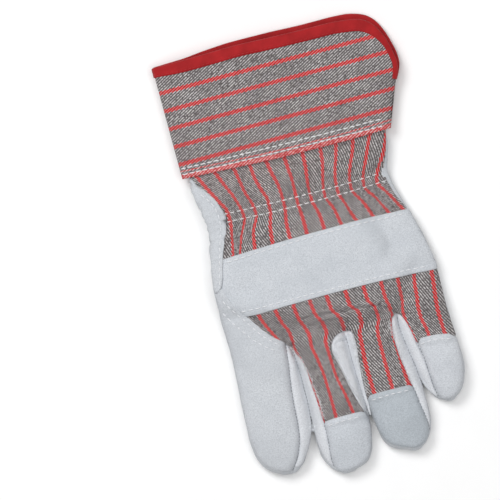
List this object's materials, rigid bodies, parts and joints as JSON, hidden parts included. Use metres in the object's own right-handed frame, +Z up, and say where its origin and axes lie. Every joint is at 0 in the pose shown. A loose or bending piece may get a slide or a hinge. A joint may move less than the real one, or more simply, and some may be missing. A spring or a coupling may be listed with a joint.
{
  "type": "leather palm work glove",
  "caption": "Left work glove, palm down: split leather palm, fingers and knuckle strap, striped canvas back and a stiff flared cuff with red binding.",
  "frame": {"origin": "middle of the underside, on the surface that the glove lies on", "axes": "+Z up through the back of the hand, fingers towards -Y, cuff towards +Y, thumb and index side towards -X"},
  "size_m": [0.1454, 0.2664, 0.0236],
  "materials": {
    "suede": "split cowhide, pale grey nap",
    "canvas": "grey twill with red stripes",
    "tape": "red woven bias tape"
  },
  "bodies": {
    "root": {"palm": "suede", "finger_front": "suede", "thumb": "suede", "index_back": "suede", "index_gusset": "suede", "ring_gusset": "suede", "little_gusset": "suede", "middle_tip": "suede", "ring_tip": "suede", "little_tip": "suede", "knuckle_strap": "suede", "pulse_patch": "suede", "back_panel": "canvas", "cuff": "canvas", "binding": "tape"}
  },
  "joints": []
}
